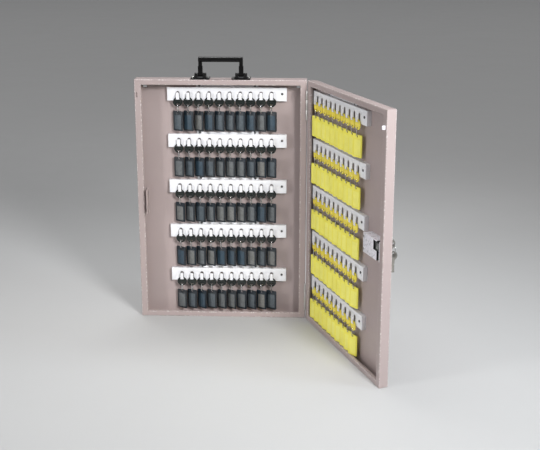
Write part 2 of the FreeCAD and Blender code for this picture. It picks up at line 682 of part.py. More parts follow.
# ---------------------------------------------------------------- lock
def lock_case():
    """Case on the door's inner face, with a slot for the strike and a window to the bolt."""
    case = box((LOCK_LEFT, LOCK_RIGHT), (0, DOOR_PANEL), (LOCK_LOW, LOCK_HIGH))
    wall_end = STRIKE_SLOT[0] - PORT_WALL
    cavity_z = (LOCK_LOW + CAVITY_END, LOCK_HIGH - CAVITY_END)
    cavity = box((LOCK_LEFT + CAVITY_INSET, wall_end), (LOCK_WALL, CAVITY_BACK), cavity_z)
    bolt_z = (BOLT_LOW - BOLT_CLEARANCE, BOLT_HIGH + BOLT_CLEARANCE)
    bolt_y = (BOLT_FRONT - BOLT_CLEARANCE, BOLT_BACK + BOLT_CLEARANCE)
    port = box((wall_end - 1, STRIKE_SLOT[0] + 1), bolt_y, bolt_z)
    slot = box(STRIKE_SLOT, (-1, STRIKE_SLOT_DEPTH), (LOCK_LOW - 1, LOCK_HIGH + 1))
    window = box((BOLT_WINDOW_LEFT, STRIKE_SLOT[0] + 1), (-1, bolt_y[0] + 0.1), BOLT_WINDOW_Z)
    start = Vector(PLUG_X, BARREL_HOLE_INNER, PLUG_Z)
    barrel_hole = rod(BARREL_RADIUS, start, Vector(PLUG_X, DOOR_PANEL + 1, PLUG_Z))
    case = case.cut(cavity)
    for cutter in (port, slot, window, barrel_hole):
        case = case.cut(cutter)
    for x, z in lock_screw_places():
        case = case.cut(rod(SCREW_SHANK, Vector(x, -1, z), Vector(x, DOOR_PANEL, z)))
    return case


def lock_screw_places():
    """X and z of the two screws through the lock case."""
    return [(LOCK_LEFT + LOCK_SCREW_INSET, z) for z in LOCK_SCREW_HEIGHTS]


def lock_screws():
    """Two screws from the case's face to the door panel."""
    screws = []
    for x, z in lock_screw_places():
        head = rod(LOCK_SCREW_HEAD, Vector(x, 0, z), Vector(x, -LOCK_SCREW_HEAD_HEIGHT, z))
        shank = rod(SCREW_SHANK, Vector(x, 0, z), Vector(x, DOOR_PANEL, z))
        screws.append(join([head, shank]))
    return Part.makeCompound(screws)


def lock_bolt():
    """Sliding bolt: a block that enters the strike and a tail with a slot for the cam pin."""
    head = box((BOLT_HEAD_LEFT, BOLT_TIP), (BOLT_FRONT, BOLT_BACK), (BOLT_LOW, BOLT_HIGH))
    tail_x = (BOLT_TAIL_LEFT, BOLT_HEAD_LEFT + 1)
    tail = box(tail_x, (BOLT_FRONT, BOLT_TAIL_BACK), (BOLT_TAIL_LOW, BOLT_HIGH))
    pin_x = PLUG_X - BOLT_TRAVEL / 2
    half = CAM_PIN_RADIUS + CAM_PIN_CLEARANCE
    pin_circle = BOLT_TRAVEL / math.sqrt(2)
    low = PLUG_Z + BOLT_TRAVEL / 2 - half
    slot_y = (BOLT_FRONT - 1, BOLT_BACK + 1)
    slot = box((pin_x - half, pin_x + half), slot_y, (low, PLUG_Z + pin_circle + half))
    return join([head, tail]).cut(slot)


def lock_barrel():
    """Fixed barrel through the door panel, with a round bezel outside."""
    start = Vector(PLUG_X, BARREL_INNER, PLUG_Z)
    barrel = rod(BARREL_RADIUS, start, Vector(PLUG_X, PLUG_OUTER, PLUG_Z))
    bezel_outer = DOOR_DEPTH + BEZEL_HEIGHT
    bezel = rod(BEZEL_RADIUS, Vector(PLUG_X, DOOR_DEPTH, PLUG_Z), Vector(PLUG_X, bezel_outer, PLUG_Z))
    rim = [edge for edge in bezel.Edges if edge.BoundBox.YMin > bezel_outer - 0.1]
    bezel = bezel.makeFillet(BEZEL_EDGE, rim)
    rim = [edge for edge in barrel.Edges if edge.BoundBox.YMin > PLUG_OUTER - 0.1]
    barrel = barrel.makeFillet(BARREL_EDGE, rim)
    bore = rod(PLUG_RADIUS + RUNNING_CLEARANCE, start, Vector(PLUG_X, PLUG_OUTER + 1, PLUG_Z))
    return join([barrel, bezel]).cut(bore)


def lock_plug():
    """Turning plug with a keyway, and the cam and pin that drive the bolt."""
    plug = rod(PLUG_RADIUS, Vector(PLUG_X, PLUG_INNER - 1, PLUG_Z), Vector(PLUG_X, PLUG_OUTER, PLUG_Z))
    cam = rod(CAM_RADIUS, Vector(PLUG_X, CAM_FRONT, PLUG_Z), Vector(PLUG_X, PLUG_INNER, PLUG_Z))
    pin_x = PLUG_X - BOLT_TRAVEL / 2
    pin_z = PLUG_Z + BOLT_TRAVEL / 2
    pin = rod(CAM_PIN_RADIUS, Vector(pin_x, BOLT_FRONT - 0.5, pin_z), Vector(pin_x, CAM_FRONT + 1, pin_z))
    half_x = BLADE_THICKNESS / 2 + KEYWAY_CLEARANCE
    half_z = BLADE_HEIGHT / 2 + KEYWAY_CLEARANCE
    keyway = box(
        (PLUG_X - half_x, PLUG_X + half_x),
        (KEYWAY_INNER, PLUG_OUTER + 1),
        (PLUG_Z - half_z, PLUG_Z + half_z),
    )
    return join([plug, cam, pin]).cut(keyway)


def bow(radius, centre_y, centre_z):
    """Round key head with rounded edges, thin in X."""
    half = KEY_PLATE / 2
    disc = rod(radius, Vector(PLUG_X - half, centre_y, centre_z), Vector(PLUG_X + half, centre_y, centre_z))
    rims = [edge for edge in disc.Edges if edge.Curve.TypeId == "Part::GeomCircle"]
    return disc.makeFillet(KEY_EDGE, rims)


def key_hole(radius, y, z):
    """Cutter for a hole through a key's head."""
    return rod(radius, Vector(PLUG_X - KEY_PLATE, y, z), Vector(PLUG_X + KEY_PLATE, y, z))


def bitting(start, step, count, edge_z, along_z):
    """Cutters for the row of V notches along a blade's edge."""
    notches = []
    half = BLADE_THICKNESS
    for number in range(count):
        place = start + number * step
        depth = NOTCH_DEPTH + NOTCH_STEP * ((number * 2) % 3)
        low, high = place - NOTCH_HALF, place + NOTCH_HALF
        if along_z:
            corners = ((edge_z + 0.1, low), (edge_z + 0.1, high), (edge_z - depth, place))
        else:
            corners = ((low, edge_z + 0.1), (high, edge_z + 0.1), (place, edge_z - depth))
        points = [Vector(PLUG_X - half, y, z) for y, z in corners]
        face = Part.Face(Part.makePolygon(points + points[:1]))
        notches.append(face.extrude(Vector(2 * half, 0, 0)))
    return Part.makeCompound(notches)


def lock_key():
    """Key in the lock: blade in the keyway, bow outside with a hole for the ring."""
    half_x = BLADE_THICKNESS / 2
    half_z = BLADE_HEIGHT / 2
    x_range = (PLUG_X - half_x, PLUG_X + half_x)
    blade = box(x_range, (KEY_TIP_Y, KEY_SHOULDER_Y[1]), (PLUG_Z - half_z, PLUG_Z + half_z))
    blade = blade.cut(bitting(*KEY_NOTCHES, PLUG_Z + half_z, False))
    shoulder = box(x_range, KEY_SHOULDER_Y, (PLUG_Z - KEY_SHOULDER_HALF, PLUG_Z + KEY_SHOULDER_HALF))
    head = bow(KEY_BOW_RADIUS, KEY_BOW_Y, PLUG_Z)
    return join([blade, shoulder, head]).cut(key_hole(KEY_HOLE_RADIUS, KEY_HOLE_Y, PLUG_Z))


def ring_top_z():
    """Height of the key ring's wire where it lies in the key's hole."""
    return PLUG_Z - KEY_HOLE_RADIUS + KEY_RING_WIRE + HANG_GAP


def key_ring():
    """Small wire ring through the key's hole."""
    centre = Vector(PLUG_X, KEY_HOLE_Y, ring_top_z() - KEY_RING_RADIUS)
    return Part.makeTorus(KEY_RING_RADIUS, KEY_RING_WIRE, centre, ALONG_Y)


def spare_hole_z():
    """Height of the spare key's hole, hanging on the ring."""
    return ring_top_z() - 2 * KEY_RING_RADIUS + KEY_RING_WIRE + HANG_GAP - SPARE_HOLE_RADIUS


def spare_key():
    """Second key, hanging from the ring."""
    hole_z = spare_hole_z()
    bow_z = hole_z - SPARE_BOW_DROP
    half_x = BLADE_THICKNESS / 2
    blade_top = bow_z - SPARE_BOW_RADIUS + 1
    blade_low = blade_top - SPARE_BLADE_LENGTH
    y_range = (KEY_HOLE_Y - BLADE_HEIGHT / 2, KEY_HOLE_Y + BLADE_HEIGHT / 2)
    blade = box((PLUG_X - half_x, PLUG_X + half_x), y_range, (blade_low, blade_top + 1))
    first, pitch, count = SPARE_NOTCHES
    blade = blade.cut(bitting(blade_low + first, pitch, count, y_range[1], True))
    head = bow(SPARE_BOW_RADIUS, KEY_HOLE_Y, bow_z)
    return join([blade, head]).cut(key_hole(SPARE_HOLE_RADIUS, KEY_HOLE_Y, hole_z))


def lock_strike():
    """Bent plate inside the body's free side; its tongue enters the lock case's slot."""
    wall_x = -(HALF_WIDTH - SHEET)
    tongue_x = -(STRIKE_SLOT[0] + STRIKE_SLOT[1]) / 2
    tongue_near, tongue_far = tongue_x - STRIKE_TONGUE_HALF, tongue_x + STRIKE_TONGUE_HALF
    arm_back = STRIKE_ARM_FRONT + STRIKE_SHEET
    foot = box((wall_x, wall_x + STRIKE_SHEET), (STRIKE_ARM_FRONT, STRIKE_FOOT_BACK), STRIKE_Z)
    arm = box((wall_x, tongue_far), (STRIKE_ARM_FRONT, arm_back), STRIKE_Z)
    tongue = box((tongue_near, tongue_far), (STRIKE_TONGUE_TIP, arm_back), STRIKE_Z)
    hole_y = (-RIM_GAP - BOLT_BACK - STRIKE_HOLE_GAP, -RIM_GAP - BOLT_FRONT + STRIKE_HOLE_GAP)
    hole_z = (BOLT_LOW - STRIKE_HOLE_MARGIN, BOLT_HIGH + STRIKE_HOLE_MARGIN)
    hole = box((tongue_near - 1, tongue_far + 1), hole_y, hole_z)
    return join([foot, arm, tongue]).cut(hole)


# ---------------------------------------------------------------- whole cabinet
def save_rows(prefix, centre_x, panel_y, mean_yaw, place):
    """Bars, rings, links and tags of all five rows of one tray."""
    bar = hook_bar(centre_x, panel_y)
    y = holder_y(panel_y)
    pieces = {"rings": (ring(y), 0), "links": (link(y), LINK_YAW_SHARE), "tags": (tag(y), 1)}
    for row in range(ROW_COUNT):
        number = str(row + 1)
        save(prefix + "_hook_bar_" + number, moved(bar, z=-row * ROW_PITCH), place)
        for kind, (piece, share) in pieces.items():
            copies = holder_row(piece, centre_x, row, y, mean_yaw, share)
            save(prefix + "_" + kind + "_" + number, copies, place)


def main():
    os.makedirs("parts", exist_ok=True)
    body = body_place()
    door = door_place()
    save("body_shell", body_shell(), body)
    save("hinge_body_leaves", body_leaves(), body)
    save("hinge_pins", hinge_pins(), body)
    save("lock_strike", lock_strike(), body)
    save("handle_bases", Part.makeCompound([handle_base(-1), handle_base(1)]), body)
    save("handle_screws", handle_screws(), body)
    save("handle_bail", handle_bail(), body)
    save("body_bar_screws", bar_screws(BODY_BAR_CENTRE, BODY_PANEL), body)
    save_rows("body", BODY_BAR_CENTRE, BODY_PANEL, BODY_TAG_YAW, body)
    save("door_shell", door_shell(), door)
    save("hinge_door_leaves", door_leaves(), door)
    save("locating_tab", locating_tab(), door)
    save("lock_case", lock_case(), door)
    save("lock_screws", lock_screws(), door)
    save("lock_bolt", lock_bolt(), door)
    save("lock_barrel", lock_barrel(), door)
    save("lock_plug", lock_plug(), door)
    save("lock_key", lock_key(), door)
    save("key_ring", key_ring(), door)
    save("spare_key", spare_key(), door)
    save("door_bar_screws", bar_screws(DOOR_BAR_CENTRE, DOOR_PANEL), door)
    save_rows("door", DOOR_BAR_CENTRE, DOOR_PANEL, DOOR_TAG_YAW, door)


main()
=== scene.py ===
import json
import math

import bmesh
import bpy
from mathutils import Matrix, Vector


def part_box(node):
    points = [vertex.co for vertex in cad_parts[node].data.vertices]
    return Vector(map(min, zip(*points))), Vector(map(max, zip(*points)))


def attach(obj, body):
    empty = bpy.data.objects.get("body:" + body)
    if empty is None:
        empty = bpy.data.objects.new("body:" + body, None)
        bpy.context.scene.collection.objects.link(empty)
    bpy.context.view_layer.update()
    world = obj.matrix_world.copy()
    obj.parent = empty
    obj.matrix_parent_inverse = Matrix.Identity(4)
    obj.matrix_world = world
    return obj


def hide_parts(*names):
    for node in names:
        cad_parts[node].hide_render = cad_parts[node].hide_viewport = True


# Portable key cabinet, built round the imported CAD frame. Everything is in metres in the row
# frame: the body's open front faces -Y and the door is hinged at +X. Each tray also has a tray
# frame, with its rim in the plane y = 0 and its inside towards +Y, in which both are alike.

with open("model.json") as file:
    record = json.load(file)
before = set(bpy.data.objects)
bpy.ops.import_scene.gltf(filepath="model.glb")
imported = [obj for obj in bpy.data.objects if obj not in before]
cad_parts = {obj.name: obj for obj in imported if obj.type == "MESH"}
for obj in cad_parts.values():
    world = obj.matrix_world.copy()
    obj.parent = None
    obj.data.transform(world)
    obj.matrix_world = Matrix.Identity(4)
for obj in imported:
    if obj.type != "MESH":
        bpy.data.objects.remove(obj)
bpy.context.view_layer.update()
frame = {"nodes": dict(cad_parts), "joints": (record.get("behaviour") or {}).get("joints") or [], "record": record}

MM = 0.001
ROWS = range(1, 6)
HOOKS = 10                   # on each bar
WELD = 1e-6                  # vertices closer than this become one
FLAT_ANGLE = 1               # degrees below which two facets are one face


# ---------------------------------------------------------------- places from the frame
def joint(name):
    """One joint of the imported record."""
    return next(item for item in frame["joints"] if item["name"] == name)


def tray_places():
    """Matrices from the body's and the door's tray frames to the row frame."""
    hinge = joint("door_hinge")
    rim_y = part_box("body_shell")[0].y
    axis = Vector(hinge["pos_m"])
    turn = Matrix.Rotation(math.pi - math.radians(hinge["range_deg"][0]), 4, "Z")
    to_axis = Matrix.Translation((axis.x, rim_y - axis.y, 0))
    door = Matrix.Translation((axis.x, axis.y, 0)) @ turn @ to_axis
    return {"body": Matrix.Translation((0, rim_y, 0)), "door": door}


PLACES = tray_places()


def tray_box(node, tray):
    """Lowest and highest corners of a CAD node, in its tray's frame."""
    back = PLACES[tray].inverted()
    corners = [back @ vertex.co for vertex in frame["nodes"][node].data.vertices]
    low = Vector([min(corner[i] for corner in corners) for i in range(3)])
    high = Vector([max(corner[i] for corner in corners) for i in range(3)])
    return low, high


# ---------------------------------------------------------------- mesh helpers
def new_object(name, mesh, materials):
    """Object with its materials, linked to the scene."""
    piece = bpy.data.objects.new(name, mesh)
    bpy.context.scene.collection.objects.link(piece)
    for material in materials:
        mesh.materials.append(material)
    return piece


def baked(piece):
    """Applies the piece's modifiers to its mesh."""
    graph = bpy.context.evaluated_depsgraph_get()
    mesh = bpy.data.meshes.new_from_object(piece.evaluated_get(graph))
    piece.modifiers.clear()
    piece.data = mesh
    return piece


def smoothed(piece, degrees=35):
    """Smooth shading, with edges sharper than the given angle left sharp."""
    mesh = piece.data
    mesh.shade_smooth()
    mesh.set_sharp_from_angle(angle=math.radians(degrees))
    return piece


def bevelled(piece, width, segments, degrees=40):
    """Rounds every edge of a piece that is sharper than the given angle."""
    bevel = piece.modifiers.new("round", "BEVEL")
    bevel.width = width
    bevel.segments = segments
    bevel.limit_method = "ANGLE"
    bevel.angle_limit = math.radians(degrees)
    return baked(piece)


def mesh_from(bm, name):
    """Mesh with outward normals from a bmesh, which is freed."""
    bmesh.ops.recalc_face_normals(bm, faces=bm.faces)
    mesh = bpy.data.meshes.new(name)
    bm.to_mesh(mesh)
    bm.free()
    return mesh


def finish_piece(piece, body, node):
    """Attaches a piece to the body it rides on and hides the CAD node it stands for."""
    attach(piece, body)
    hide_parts(node)
    return piece


def refined(node, name, finish, body, width, segments):
    """Mesh of a CAD node with its facets merged and its edges rounded."""
    bm = bmesh.new()
    bm.from_mesh(frame["nodes"][node].data)
    bmesh.ops.remove_doubles(bm, verts=bm.verts, dist=WELD)
    bmesh.ops.dissolve_limit(
        bm, angle_limit=math.radians(FLAT_ANGLE), use_dissolve_boundaries=False,
        verts=bm.verts, edges=bm.edges,
    )
    piece = new_object(name, mesh_from(bm, name), [MATERIALS[finish]])
    smoothed(bevelled(piece, width, segments))
    return finish_piece(piece, body, node)


def loops_to_faces(bm, loops):
    """Quads between successive closed loops of vertices."""
    for first, second in zip(loops, loops[1:]):
        count = len(first)
        for i in range(count):
            j = (i + 1) % count
            bm.faces.new((first[i], first[j], second[j], second[i]))


def tube(bm, points, radius, closed=False, sides=8):
    """Round wire along points, added to a bmesh."""
    count = len(points)
    loops = []
    reference = None
    for i, point in enumerate(points):
        ahead = points[(i + 1) % count] if closed or i < count - 1 else point
        behind = points[i - 1] if closed or i > 0 else point
        along = (ahead - behind).normalized()
        if reference is None:
            reference = along.orthogonal().normalized()
        reference = (reference - along * reference.dot(along)).normalized()
        other = along.cross(reference)
        ring = []
        for k in range(sides):
            angle = 2 * math.pi * k / sides
            outward = math.cos(angle) * reference + math.sin(angle) * other
            ring.append(bm.verts.new(point + radius * outward))
        loops.append(ring)
    if closed:
        loops.append(loops[0])
    loops_to_faces(bm, loops)
    if not closed:
        bm.faces.new(loops[0])
        bm.faces.new(loops[-1])


def arc(centre, radius, start, end, steps):
    """Points (x, z) along an arc, angles in degrees."""
    points = []
    for i in range(steps + 1):
        angle = math.radians(start + (end - start) * i / steps)
        points.append((centre[0] + radius * math.cos(angle), centre[1] + radius * math.sin(angle)))
    return points


def circle(centre, radius, count):
    """Outline (x, z) of a circle of so many points."""
    return arc(centre, radius, 0, 360 - 360 / count, count - 1)


def rounded_rectangle(low, high, radius, steps=5):
    """Outline (x, z) of a rectangle with round corners."""
    outline = []
    corners = (
        (high[0], high[1], 0), (low[0], high[1], 90), (low[0], low[1], 180), (high[0], low[1], 270)
    )
    for x, z, start in corners:
        centre = (x - math.copysign(radius, x - (low[0] + high[0]) / 2),
                  z - math.copysign(radius, z - (low[1] + high[1]) / 2))
        outline += arc(centre, radius, start, start + 90, steps)
    return outline


def plate(outlines, thickness, edge, rounds=3):
    """Flat plate in the XZ plane from an outline and its holes, with rounded edges."""
    curve = bpy.data.curves.new("plate", "CURVE")
    curve.dimensions = "2D"
    curve.fill_mode = "BOTH"
    curve.extrude = thickness / 2 - edge
    curve.bevel_depth = edge
    curve.bevel_resolution = rounds
    curve.offset = -edge
    for outline in outlines:
        spline = curve.splines.new("POLY")
        spline.points.add(len(outline) - 1)
        spline.use_cyclic_u = True
        for point, (x, z) in zip(spline.points, outline):
            point.co = (x, z, 0, 1)
    holder = bpy.data.objects.new("plate", curve)
    bpy.context.scene.collection.objects.link(holder)
    graph = bpy.context.evaluated_depsgraph_get()
    mesh = bpy.data.meshes.new_from_object(holder.evaluated_get(graph))
    bpy.data.objects.remove(holder)
    bpy.data.curves.remove(curve)
    mesh.transform(Matrix.Rotation(math.pi / 2, 4, "X"))
    bm = bmesh.new()
    bm.from_mesh(mesh)
    bpy.data.meshes.remove(mesh)
    bmesh.ops.remove_doubles(bm, verts=bm.verts, dist=WELD)
    return bm


def add_copy(target, source, matrix, material_index=0):
    """Adds a copy of one bmesh to another, moved by a matrix."""
    matched = {}
    for vertex in source.verts:
        matched[vertex] = target.verts.new(matrix @ vertex.co)
    for face in source.faces:
        copy = target.faces.new([matched[vertex] for vertex in face.verts])
        copy.material_index = material_index


def box_mesh(low, high):
    """Axis-aligned box."""
    bm = bmesh.new()
    size = [high[i] - low[i] for i in range(3)]
    centre = [(high[i] + low[i]) / 2 for i in range(3)]
    matrix = Matrix.Translation(centre) @ Matrix.Diagonal((*size, 1))
    bmesh.ops.create_cube(bm, size=1, matrix=matrix)
    return bm


# ---------------------------------------------------------------- materials
NOISE_RANGE = (0.3, 0.7)     # where noise mostly lies
SCRATCH_SCALE = 260
SCRATCH_GATE = (0.52, 0.6)   # noise at which worn paint, with its painted edge highlight, begins and is complete
COAT_ROUGHNESS = 0.15
BUMP_STRENGTH = 0.6


def add_noise(nodes, links, scale, detail, vector, roughness=0.5):
    """Noise texture node driven by a vector output."""
    noise = nodes.new("ShaderNodeTexNoise")
    noise.inputs["Scale"].default_value = scale
    noise.inputs["Detail"].default_value = detail
    noise.inputs["Roughness"].default_value = roughness
    links.new(vector, noise.inputs["Vector"])
    return noise.outputs["Fac"]


def mapped(nodes, links, value, low, high):
    """Noise mapped to a range."""
    node = nodes.new("ShaderNodeMapRange")
    node.inputs["From Min"].default_value = NOISE_RANGE[0]
    node.inputs["From Max"].default_value = NOISE_RANGE[1]
    node.inputs["To Min"].default_value = low
    node.inputs["To Max"].default_value = high
    links.new(value, node.inputs["Value"])
    return node.outputs["Result"]


def mixed(nodes, links, factor, first, second):
    """Colour mix of two colours or colour outputs."""
    mix = nodes.new("ShaderNodeMix")
    mix.data_type = "RGBA"
    links.new(factor, mix.inputs["Factor"])
    for socket, colour in (("A", first), ("B", second)):
        target = [item for item in mix.inputs if item.name == socket and item.type == "RGBA"][0]
        if isinstance(colour, tuple):
            target.default_value = (*colour, 1)
        else:
            links.new(colour, target)
    return [item for item in mix.outputs if item.type == "RGBA"][0]


def shaded(colour, factor):
    """Colour made darker or lighter."""
    return tuple(min(1.0, channel * factor) for channel in colour)


def surface(name, colour, roughness, metallic=0.0, grain=(900, 0.00006), blotch=(18, 0.06),
            stretch=(1, 1, 1), other=None, wear_and_highlight=None, coat=0.0, specular=0.5, rough_range=0.08):
    """Procedural finish: grain in the bump, blotches in the colour, uneven roughness.

    grain is the scale and depth of the bump, and blotch the scale and strength of the blotches.
    other is the colour towards which loose pieces of the mesh vary from one to the next, and
    wear_and_highlight is the lighter colour on the edges marked by the mesh's edge attribute:
    paint rubbed off, and a painted highlight along the edges.
    """
    material = bpy.data.materials.new(name)
    material.use_nodes = True
    nodes = material.node_tree.nodes
    links = material.node_tree.links
    shader = nodes["Principled BSDF"]
    place = nodes.new("ShaderNodeTexCoord")
    mapping = nodes.new("ShaderNodeMapping")
    mapping.inputs["Scale"].default_value = stretch
    links.new(place.outputs["Object"], mapping.inputs["Vector"])
    vector = mapping.outputs["Vector"]
    cloud = add_noise(nodes, links, blotch[0], 4, vector, 0.6)
    amount = mapped(nodes, links, cloud, 0, 1)
    tone = mixed(nodes, links, amount, shaded(colour, 1 - blotch[1]), shaded(colour, 1 + blotch[1]))
    if other:
        island = nodes.new("ShaderNodeNewGeometry")
        row = nodes.new("ShaderNodeObjectInfo")
        both = nodes.new("ShaderNodeMath")
        both.operation = "ADD"
        links.new(island.outputs["Random Per Island"], both.inputs[0])
        links.new(row.outputs["Random"], both.inputs[1])
        share = nodes.new("ShaderNodeMath")
        share.operation = "FRACT"
        links.new(both.outputs["Value"], share.inputs[0])
        far = mixed(nodes, links, amount, shaded(other, 1 - blotch[1]), shaded(other, 1 + blotch[1]))
        tone = mixed(nodes, links, share.outputs["Value"], tone, far)
    # Lighter colour on the marked edges: worn paint, and a painted highlight where light catches the folds.
    if wear_and_highlight:
        edge = nodes.new("ShaderNodeAttribute")
        edge.attribute_name = "edge"
        scratch = add_noise(nodes, links, SCRATCH_SCALE, 6, vector, 0.7)
        gate = nodes.new("ShaderNodeMapRange")
        gate.inputs["From Min"].default_value = SCRATCH_GATE[0]
        gate.inputs["From Max"].default_value = SCRATCH_GATE[1]
        links.new(scratch, gate.inputs["Value"])
        worn_and_lit = nodes.new("ShaderNodeMath")
        worn_and_lit.operation = "MULTIPLY"
        links.new(gate.outputs["Result"], worn_and_lit.inputs[0])
        links.new(edge.outputs["Fac"], worn_and_lit.inputs[1])
        tone = mixed(nodes, links, worn_and_lit.outputs["Value"], tone, wear_and_highlight)
    links.new(tone, shader.inputs["Base Color"])
    shader.inputs["Metallic"].default_value = metallic
    shader.inputs["Specular IOR Level"].default_value = specular
    shader.inputs["Coat Weight"].default_value = coat
    shader.inputs["Coat Roughness"].default_value = COAT_ROUGHNESS
    smudge = add_noise(nodes, links, blotch[0] * 3, 5, vector, 0.65)
    spot = mapped(nodes, links, smudge, max(0.02, roughness - rough_range), roughness + rough_range)
    links.new(spot, shader.inputs["Roughness"])
    fine = add_noise(nodes, links, grain[0], 3, vector)
    bump = nodes.new("ShaderNodeBump")
    bump.inputs["Strength"].default_value = BUMP_STRENGTH
    bump.inputs["Distance"].default_value = grain[1]
    links.new(fine, bump.inputs["Height"])
    links.new(bump.outputs["Normal"], shader.inputs["Normal"])
    return material


MATERIALS = {
    # Shell edges take a lighter colour: worn paint, and a painted highlight along the folds.
    "shell": surface("shell_paint", (0.40, 0.325, 0.312), 0.42, grain=(1400, 0.00005), blotch=(7, 0.035),
                     wear_and_highlight=(0.62, 0.58, 0.56), coat=0.06),
    "bar": surface("bar_paint", (0.84, 0.84, 0.86), 0.32, grain=(1100, 0.00003), blotch=(30, 0.02),
                   coat=0.2),
    "black": surface("holder_black", (0.006, 0.009, 0.008), 0.28, grain=(1600, 0.00003), blotch=(60, 0.2),
                     other=(0.014, 0.018, 0.016)),
    "yellow": surface("holder_yellow", (0.90, 0.72, 0.06), 0.32, grain=(1600, 0.00003), blotch=(60, 0.05),
                      other=(0.94, 0.80, 0.10)),
    "tag_dark": surface("tag_dark", (0.008, 0.016, 0.024), 0.32, grain=(1800, 0.00004), blotch=(50, 0.15),
                        other=(0.022, 0.026, 0.030)),
    "tag_yellow": surface("tag_yellow", (0.96, 0.89, 0.13), 0.4, grain=(1800, 0.00004), blotch=(50, 0.03),
                          other=(0.92, 0.83, 0.10)),
    # Label cards of the dark tags: dark teal is the cards' own colour; the grey that some cards take at random is
    # a painted reflection of a clear cover over the label.
    "card_grey": surface("card_grey", (0.020, 0.050, 0.078), 0.38, grain=(2400, 0.00002),
                         blotch=(160, 0.25), other=(0.175, 0.172, 0.160)),
    "card_yellow": surface("card_yellow", (0.97, 0.92, 0.22), 0.45, grain=(2400, 0.00002),
                           blotch=(90, 0.03), other=(0.95, 0.88, 0.16)),
    "wire": surface("wire_steel", (0.66, 0.66, 0.67), 0.24, metallic=1, grain=(3000, 0.00001),
                    blotch=(200, 0.08)),
    "handle": surface("handle_black", (0.004, 0.0037, 0.0037), 0.17, grain=(2200, 0.00003),
                      blotch=(60, 0.15), specular=0.3, rough_range=0.05),
    "screw": surface("screw_steel", (0.60, 0.59, 0.56), 0.3, metallic=1, grain=(2500, 0.00001),
                     blotch=(150, 0.1)),
    # Painted shade: near-black for the faces inside the lock case's slot and window, where shade falls.
    "inside": surface("lock_inside", (0.035, 0.034, 0.036), 0.5, metallic=0.4, grain=(1500, 0.00003),
                      blotch=(60, 0.2)),
    "ring": surface("ring_steel", (0.42, 0.41, 0.39), 0.18, metallic=1, grain=(3000, 0.00001),
                    blotch=(200, 0.08)),
    "bar_screw": surface("bar_screw", (0.10, 0.10, 0.10), 0.45, metallic=0.5, grain=(2500, 0.00001),
                         blotch=(150, 0.1)),
    "hinge": surface("hinge_steel", (0.60, 0.59, 0.57), 0.36, metallic=1, grain=(1500, 0.00002),
                     blotch=(80, 0.1), stretch=(1, 1, 0.1)),
    "zinc": surface("lock_zinc", (0.80, 0.785, 0.83), 0.3, metallic=0.15, grain=(1500, 0.00003),
                    blotch=(60, 0.06)),
    "steel": surface("lock_steel", (0.56, 0.56, 0.55), 0.35, metallic=1, grain=(1500, 0.00002),
                     blotch=(70, 0.1), stretch=(0.1, 0.1, 1)),
    "chrome": surface("lock_chrome", (0.64, 0.64, 0.65), 0.18, metallic=1, grain=(2500, 0.00001),
                      blotch=(90, 0.05)),
    "brass": surface("lock_brass", (0.60, 0.46, 0.22), 0.3, metallic=1, grain=(2500, 0.00001),
                     blotch=(90, 0.1)),
    "key": surface("key_nickel", (0.46, 0.44, 0.40), 0.2, metallic=1, grain=(2500, 0.00001),
                   blotch=(120, 0.1)),
}


# ---------------------------------------------------------------- trays
SHEET = 1.0 * MM
FOLD = 1.6 * MM              # outer radius of every fold
FOLD_STEPS = 4
EASE = 0.8 * MM              # past a fold, where the worn paint and painted highlight of its edge end
LIP_WEAR_AND_HIGHLIGHT = 0.3               # edge mark of the lip's end, next to 1 for a fold
RIM_WIDTHS = (14.5 * MM, 12.0 * MM)     # at the long sides and at the short ones
LIP_DEPTH = 6.0 * MM
CORNER = 1.5 * MM            # rounding of the welded and ground corners
LEAST_CORNER = 0.15 * MM     # inside the section, where the rounding would vanish
CORNER_STEPS = 4
KNUCKLE_NOTCH = 3.6 * MM     # radius of the notches for the hinge knuckles
KNUCKLE_GAP = 2 * MM         # more than the hinge's length
WALL_SLOT_CUT = 3 * MM       # reach of the cutter either side of the panel
TAB_SLOT_HALF = 1.5 * MM     # half its width
TAB_GAP = 1.5 * MM           # above and below the tab
TAB_SLOT_Y = (-2 * MM, 3 * MM)     # right through the rim
LOCK_HOLE_RADIUS = 8 * MM
LOCK_HOLE_CUT = 6 * MM


def fold(centre, radius, start, end, mark):
    """Points of one fold of the section, with their edge mark."""
    return [(x, y, mark) for x, y in arc(centre, radius, start, end, FOLD_STEPS)]


def section(rim, depth):
    """Closed section of a tray's wall as (inset, y, edge mark), from outer to inner panel."""
    inner = FOLD - SHEET
    ease = FOLD + EASE
    points = [(ease, depth, 0)]
    points += fold((FOLD, depth - FOLD), FOLD, 90, 180, 1)
    points += [(0, depth - ease, 0), (0, ease, 0)]
    points += fold((FOLD, FOLD), FOLD, 180, 270, 1)
    points += [(ease, 0, 0), (rim - ease, 0, 0)]
    points += fold((rim - FOLD, FOLD), FOLD, 270, 360, 1)
    points += [(rim, LIP_DEPTH, LIP_WEAR_AND_HIGHLIGHT), (rim - SHEET, LIP_DEPTH, LIP_WEAR_AND_HIGHLIGHT)]
    points += fold((rim - FOLD, FOLD), inner, 360, 270, 0)
    points += fold((FOLD, FOLD), inner, 270, 180, 0)
    points += fold((FOLD, depth - FOLD), inner, 180, 90, 0)
    return points


